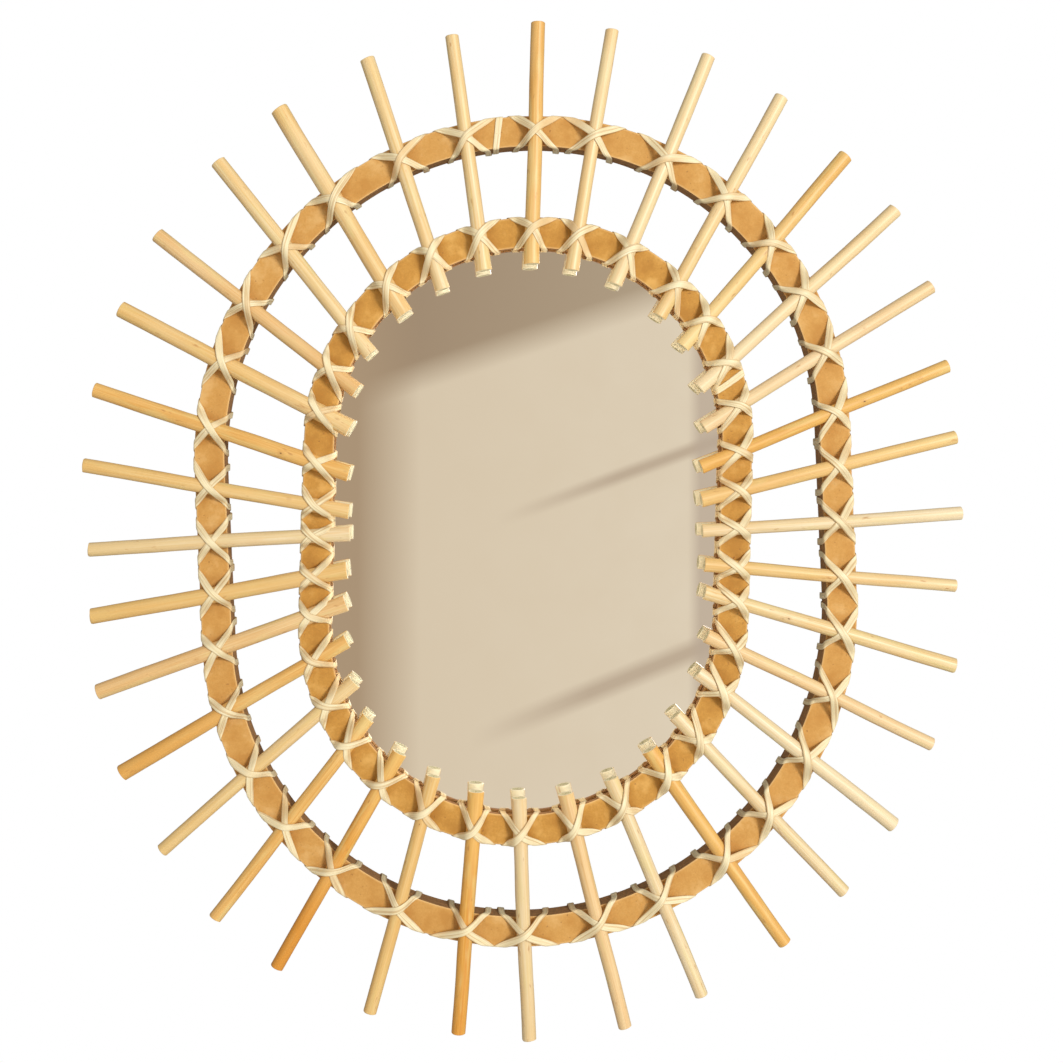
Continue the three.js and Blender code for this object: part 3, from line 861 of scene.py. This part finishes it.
def strand_path(hoop, crossings, climb, binding):
    """A strand's middle line: stations, unrolled ways round the section, and the crossing it is at.

    Where climb is 1 the strand goes outwards over each stick, and where it is -1 inwards.
    """
    drift = binding["side_drift"] * MM
    half = climb * HOOP_WIDTH / 2
    down = climb * hoop.thickness
    even = (ARM_PULL, ARM_PULL)

    def slope(across, along):
        return math.degrees(math.atan2(across, along))

    path = []
    for number, (here, after, lap) in enumerate(with_next(crossings, hoop)):
        turn = climb * number * hoop.girth
        start = (here.edge[-climb] - here.spread[-climb, -1], turn - half)
        crest = (here.crest_station, turn + here.shift)
        finish = (here.edge[climb] + here.spread[climb, 1], turn + half)
        next_start = (after.edge[-climb] - after.spread[-climb, -1] + lap, turn + 3 * half + 2 * down)
        behind = (finish[0] + drift, turn + half + down)
        far_behind = (next_start[0] - drift, turn + 3 * half + down)
        rise = slope(HOOP_WIDTH / 2 + climb * here.shift, crest[0] - start[0])
        fall = slope(HOOP_WIDTH / 2 - climb * here.shift, finish[0] - crest[0])
        over = (rise + fall) / 2
        next_rise = slope(HOOP_WIDTH / 2 + climb * after.shift, after.crest_station + lap - next_start[0])
        legs = [
            (here, start, crest, (rise, over), (ARM_PULL, CREST_PULL), ARM_STEPS, 0),
            (here, crest, finish, (over, fall), (CREST_PULL, ARM_PULL), ARM_STEPS, 0),
            (here, finish, behind, (fall, BACK_SLOPE), even, SIDE_STEPS, BUNCHING),
            (here, behind, far_behind, (BACK_SLOPE, BACK_SLOPE), even, BACK_STEPS, BUNCHING),
            (after, far_behind, next_start, (BACK_SLOPE, next_rise), even, SIDE_STEPS, BUNCHING),
        ]
        for owner, first, last, slopes, pulls, count, bunching in legs:
            for station, way in hermite(first, last, slopes, pulls, climb, count, bunching):
                path.append((station, way, owner))
    return path


def ribbon(hoop, path, lift_of, height_of, seed):
    """Points and fibre places of a strand along a closed path of stations and ways."""
    count = len(path)
    middles = []
    for i, (station, way, owner) in enumerate(path):
        before, after = path[i - 1], path[(i + 1) % count]
        step = Vector((after[0] - before[0], after[1] - before[1]))
        step.x = (step.x + hoop.length / 2) % hoop.length - hoop.length / 2
        step.y = (step.y + hoop.girth / 2) % hoop.girth - hoop.girth / 2
        step.normalize()
        width = PEEL_HALF_WIDTH * (1 + PEEL_WIDTH_VARIES * noise.noise(Vector((i * 0.13, seed, 0))))
        row = []
        for share, _, _ in PEEL_SECTION:
            beside = way + step.x * share * width
            lift = lift_of(beside) + PEEL_THICKNESS / 2
            place = hoop.wrapped(station - step.y * share * width, beside, lift)
            place.y -= height_of(place.x, place.z, beside, owner)
            row.append(place)
        middles.append(row)
    points, fibre = [], []
    shares = [share for share, _, _ in PEEL_SECTION]
    shares += shares[-2:0:-1]
    run = 0.0
    columns = len(PEEL_SECTION)
    for i in range(count):
        before, here, after = middles[i - 1], middles[i], middles[(i + 1) % count]
        if i:
            run += (here[columns // 2] - before[columns // 2]).length
        outer, inner = [], []
        for j, (_, outwards, inwards) in enumerate(PEEL_SECTION):
            along = after[j] - before[j]
            across = here[min(j + 1, columns - 1)] - here[max(j - 1, 0)]
            normal = along.cross(across).normalized()
            outer.append(here[j] + normal * outwards * PEEL_THICKNESS)
            inner.append(here[j] + normal * inwards * PEEL_THICKNESS)
        points += outer + inner[-2:0:-1]
        fibre += [(run + seed, share * PEEL_HALF_WIDTH, seed) for share in shares]
    return points, fibre


def add_strand(name, node, hoop, crossings, climb, lift, binding, material, loose_bands, seed):
    """One strand wound round a hoop and over its sticks, with any loose bands that go with it."""
    fade_from = HOOP_WIDTH / 2 - 2.5 * MM
    fade_over = 5.5 * MM
    crest_lift = LOW_LIFT + (CREST_LIFT if climb > 0 else 0)

    def off_middle(way):
        return abs((way + hoop.girth / 2) % hoop.girth - hoop.girth / 2)

    def lift_of(way):
        """The strand lies on the front, and behind it stands off as far as it has to."""
        past_edge = off_middle(way) - HOOP_WIDTH / 2 - LIFT_STARTS
        return lerp(LOW_LIFT, lift, smooth(past_edge / (hoop.thickness - LIFT_STARTS)))

    def height_of(x, z, way, crossing):
        """How far the stick holds the strand off the front. A loose band is at no crossing."""
        fade = 1 - smooth((off_middle(way) - fade_from) / fade_over)
        if crossing is None or fade <= 0:
            return 0
        return fade * crossing.height(x, z, climb, LOW_LIFT, crest_lift)

    per_turn = len(PEEL_SECTION) * 2 - 2
    points, fibre, faces = [], [], []
    for number, path in enumerate([strand_path(hoop, crossings, climb, binding)] + loose_bands):
        more_points, more_fibre = ribbon(hoop, path, lift_of, height_of, seed + 3 * number)
        for face in grid_faces(len(path), per_turn, True):
            faces.append(tuple(len(points) + corner for corner in face))
        points += more_points
        fibre += more_fibre
    add_piece(name, node, points, faces, [material], None, {"fibre": fibre}, sharp_angle=75)


def plain_band(hoop, outer_station, inner_station):
    """The path of a short band that is tied straight round a hoop."""
    path = []
    base = hoop.wrapped(0, 0, 0)
    for i in range(LOOSE_BAND_STEPS):
        way = i * hoop.girth / LOOSE_BAND_STEPS
        share = (hoop.wrapped(0, way, 0) - base).z / HOOP_WIDTH + 0.5
        path.append((lerp(inner_station, outer_station, min(1, max(0, share))), way, None))
    return path


# Where the two loose bands cross the outer and the inner edge of their hoops, in the photograph.
LOOSE_BANDS_PX = {
    "outer": ((499.5, 118), (496, 148)),
    "inner": ((745, 372), (722, 390)),
}


# Panes and fittings

PANE_STEPS = 240

# The hanger's pins: the thickness of a head, the radius of a shank and of its point, the turns at
# which the rings of a head's dome lie, and the points round a ring.
PIN_HEAD = 0.9 * MM
PIN_SHANK = 0.9 * MM
PIN_POINT = 0.1 * MM
PIN_DOME = (8, 30, 50, 70, 85)
PIN_SIDES = 24


def pane_points(node, inset, depth):
    """Points round an oval pane, drawn in by an inset, at a depth."""
    low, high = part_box(node)
    radius = (high.x - low.x) / 2
    half = (high.z - low.z) / 2 - radius
    centre = box_centre(node)
    points = []
    for i in range(PANE_STEPS):
        angle = 2 * math.pi * (i + 0.5) / PANE_STEPS
        middle = half if math.cos(angle) > 0 else -half
        x = centre.x + (radius - inset) * math.sin(angle)
        points.append(Vector((x, depth, centre.z + middle + (radius - inset) * math.cos(angle))))
    return points


def add_pane(name, node, arris, materials, indices):
    """An oval pane with softened arrises: front, edge and back, each with its material."""
    low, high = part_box(node)
    points = []
    for inset, depth in ((arris, low.y), (0, low.y + arris), (0, high.y - arris), (arris, high.y)):
        points += pane_points(node, inset, depth)
    faces = grid_faces(4, PANE_STEPS, False)
    material_of = [indices[1]] * (len(faces) - 2) + [indices[0], indices[2]]
    add_piece(name, node, points, faces, materials, material_of, sharp_angle=20)


def add_pin(node, material):
    """A pin with a domed head, turned about its own axis."""
    low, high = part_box(node)
    centre = box_centre(node)
    head = (high.x - low.x) / 2
    turns = [math.radians(degrees) for degrees in PIN_DOME]
    profile = [(head * math.sin(turn), high.y - PIN_HEAD * (1 - math.cos(turn))) for turn in turns]
    profile += [(head, high.y - PIN_HEAD), (PIN_SHANK, high.y - PIN_HEAD)]
    profile += [(PIN_SHANK, low.y + PIN_SHANK), (PIN_POINT, low.y)]
    points = []
    for radius, depth in profile:
        for i in range(PIN_SIDES):
            angle = 2 * math.pi * i / PIN_SIDES
            x = centre.x + radius * math.sin(angle)
            points.append(Vector((x, depth, centre.z + radius * math.cos(angle))))
    faces = grid_faces(len(profile), PIN_SIDES, False)
    add_piece(f"{node}_domed", node, points, faces, [material], sharp_angle=35)


# Stage and light

# The wall that the glass reflects, by where its light and shade are seen in the photograph: the foot
# of the shade above, two bars of shade that run up to the right, and the shade along either side.
SHADE_FOOT_PX = ((369, 393), (655, 298))
SHADE_BARS_PX = (((587, 488), (688, 451), 9), ((559, 705), (690, 652), 14))
SHADE_LEFT_PX = (420, 358)
SHADE_RIGHT_PX = (688, 700)
SHADE_SOFTNESS_PX = 15
ROOM_DISTANCE = 4.4
ROOM_SIZE = (18, 13)

# How strongly the white surroundings light the mirror from behind and from the front, where they are
# seen as plain white, and how much more the reflected wall gives to what faces the glass.
SKY_BEHIND = 0.14
SKY_IN_FRONT = 0.72
GLOW_ON_BACKS = 4.5

# The key light, to the right of the camera, and the floor.
KEY_PLACE = (2.1, -3.7, 0.6)
KEY_SIZE = 1.0
KEY_WATTS = 123
KEY_COLOUR = (1, 0.99, 0.97)
FLOOR_PLACE = (0, -1.2, -0.8)
FLOOR_SIZE = (6, 3.2)


def stage_plane(name, size, location, rotation, material):
    mesh = bpy.data.meshes.new(name)
    half_x, half_y = size[0] / 2, size[1] / 2
    corners = [(-half_x, -half_y, 0), (half_x, -half_y, 0), (half_x, half_y, 0), (-half_x, half_y, 0)]
    mesh.from_pydata(corners, [], [(0, 1, 2, 3)])
    mesh.materials.append(material)
    plane = add_object(name, mesh)
    plane.location = location
    plane.rotation_euler = rotation
    return plane


def floor_material():
    shader = Shader("floor", (0.86, 0.86, 0.85, 1))
    cloud = shader.noise(shader.place(), 3, detail=2)
    shader.lay(cloud, (0.82, 0.82, 0.81, 1))
    return shader.finish(roughness=0.9)


def room_place(px, py):
    """Where on the wall, from its middle, a pixel of the glass shows."""
    run = CAMERA_DISTANCE + 2 * (OVAL_CENTRE.y - HOOPS_FRONT) + ROOM_DISTANCE
    scale = run / CAMERA_DISTANCE * METRES_PER_PX
    return (px - FOOT_PX[0]) * scale, (FOOT_PX[1] - py) * scale


def room_material():
    """A plain wall to reflect: beige in the light, with soft slanting shade."""
    shader = Shader("room", srgb(222, 205, 179))
    place = shader.place()
    parts = shader.add("ShaderNodeSeparateXYZ", {"Vector": place}).outputs
    px = room_place(FOOT_PX[0] + 1, FOOT_PX[1])[0]

    def above(first, second):
        """How many pixels of the photograph a place lies above the line through two pixels."""
        start, end = Vector(room_place(*first)), Vector(room_place(*second))
        normal = Vector((start.y - end.y, end.x - start.x)).normalized() / px
        height = shader.math("ADD", shader.math("MULTIPLY", parts["X"], normal.x),
                             shader.math("MULTIPLY", parts["Y"], normal.y))
        return shader.math("SUBTRACT", height, start.dot(normal))

    across = shader.math("DIVIDE", parts["X"], px)
    plaster = shader.noise(place, 5, detail=4)
    shader.coat(across, -60, 220, srgb(229, 214, 190))
    shader.coat(plaster, 0.3, 0.7, srgb(220, 202, 175), 0.3)
    for first, second, width in SHADE_BARS_PX:
        off = shader.math("ABSOLUTE", above(first, second))
        faded = shader.ramp(across, first[0] - FOOT_PX[0] - 90, first[0] - FOOT_PX[0] + 30)
        bar = shader.math("MULTIPLY", shader.ramp(off, width, width * 0.2), faded)
        shader.lay(bar, srgb(196, 177, 154))
    upper = shader.mix(shader.ramp(across, -60, 180), srgb(166, 144, 119), srgb(180, 161, 136))
    shader.coat(above(*SHADE_FOOT_PX), -SHADE_SOFTNESS_PX, SHADE_SOFTNESS_PX, upper)
    near_left = shader.ramp(across, *(edge - FOOT_PX[0] for edge in SHADE_LEFT_PX))
    shader.lay(near_left, srgb(176, 152, 124))
    near_right = shader.ramp(across, *(edge - FOOT_PX[0] for edge in SHADE_RIGHT_PX), 0.0, 0.8)
    shader.lay(near_right, srgb(192, 174, 155))
    depth = shader.add("ShaderNodeLightPath").outputs["Diffuse Depth"]
    strength = shader.ramp(depth, 0, 1, 1, GLOW_ON_BACKS)
    glow = shader.add("ShaderNodeEmission", {"Color": shader.colour, "Strength": strength})
    shader.put(shader.tree.nodes["Material Output"].inputs["Surface"], glow.outputs[0])
    # The wall is seen, but light isn't drawn from it as from a lamp.
    shader.material.cycles.emission_sampling = "NONE"
    return shader.material


def add_key_light():
    data = bpy.data.lights.new("key", "AREA")
    data.energy = KEY_WATTS
    data.size = KEY_SIZE
    data.color = KEY_COLOUR
    light = add_object("key", data)
    light.location = KEY_PLACE
    light.rotation_euler = (OVAL_CENTRE - Vector(KEY_PLACE)).to_track_quat("-Z", "Y").to_euler()


def add_planes():
    """The floor, and the wall that is seen only in the glass."""
    floor = stage_plane("floor", FLOOR_SIZE, FLOOR_PLACE, (0, 0, 0), floor_material())
    floor.visible_glossy = False
    camera = bpy.context.scene.camera.location
    room_middle = (camera.x, HOOPS_FRONT - ROOM_DISTANCE, camera.z)
    room = stage_plane("room", ROOM_SIZE, room_middle, (math.pi / 2, 0, 0), room_material())
    room.visible_camera = False
    room.visible_diffuse = False
    room.visible_shadow = False


def make_sky():
    """White surroundings, plain to the camera, that light the front of the mirror and the back."""
    world = bpy.data.worlds.new("studio")
    world.use_nodes = True
    bpy.context.scene.world = world
    sky = Nodes(world.node_tree)
    direction = sky.add("ShaderNodeTexCoord").outputs["Generated"]
    forwards = sky.add("ShaderNodeSeparateXYZ", {"Vector": direction}).outputs["Y"]
    strength = sky.ramp(forwards, 1, -1, SKY_BEHIND, SKY_IN_FRONT)
    seen = sky.add("ShaderNodeLightPath").outputs["Is Camera Ray"]
    background = world.node_tree.nodes["Background"]
    sky.put(background.inputs["Strength"], sky.math("MAXIMUM", strength, seen))
    sky.put(background.inputs["Color"], (1, 1, 1, 1))
    bpy.context.scene.view_settings.view_transform = "Standard"


make_camera()
add_planes()
add_key_light()
make_sky()

hoops = {name: Hoop(name) for name in HOOP_SHAPES}
edge_material = board_edge_material()
for name, hoop in hoops.items():
    add_hoop(name, hoop, board_face_material(name), edge_material)

sticks = [Stick(number) for number in range(1, STICK_COUNT + 1)]
woods = {slot: willow_material(slot) for slot in WILLOW}
cut_wood = cut_material()
for stick in sticks:
    add_stick(stick, woods[slots[stick.node]], cut_wood)

peel = peel_material()
for name, hoop in hoops.items():
    binding = BINDINGS[name]
    rng = random.Random(f"binding {name}")
    crossings = [Crossing(stick, hoop, binding, rng) for stick in sticks]
    for crossing, after, lap in with_next(crossings, hoop):
        crossing.keep_clear(after, lap)
    stations = [hoop.station_of(*photo_place(*px)) for px in LOOSE_BANDS_PX[name]]
    add_strand(f"{name}_peel_first", f"{name}_lashing_first", hoop, crossings, 1, LOW_LIFT,
               binding, peel, [plain_band(hoop, *stations)], seed=1.7)
    add_strand(f"{name}_peel_second", f"{name}_lashing_second", hoop, crossings, -1, HIGH_LIFT,
               binding, peel, [], seed=5.3)

hardboard = hardboard_material()
add_pane("silvered_glass", "mirror_glass", 0.5 * MM, [mirror_material(), glass_edge_material(), hardboard],
         (0, 1, 2))
add_pane("hardboard_back", "backing_board", 0.4 * MM, [hardboard], (0, 0, 0))

steel = steel_material()
frame["nodes"]["hanger_plate"].data.materials.clear()
frame["nodes"]["hanger_plate"].data.materials.append(steel)
for node in ("hanger_pin_left", "hanger_pin_right"):
    add_pin(node, steel)
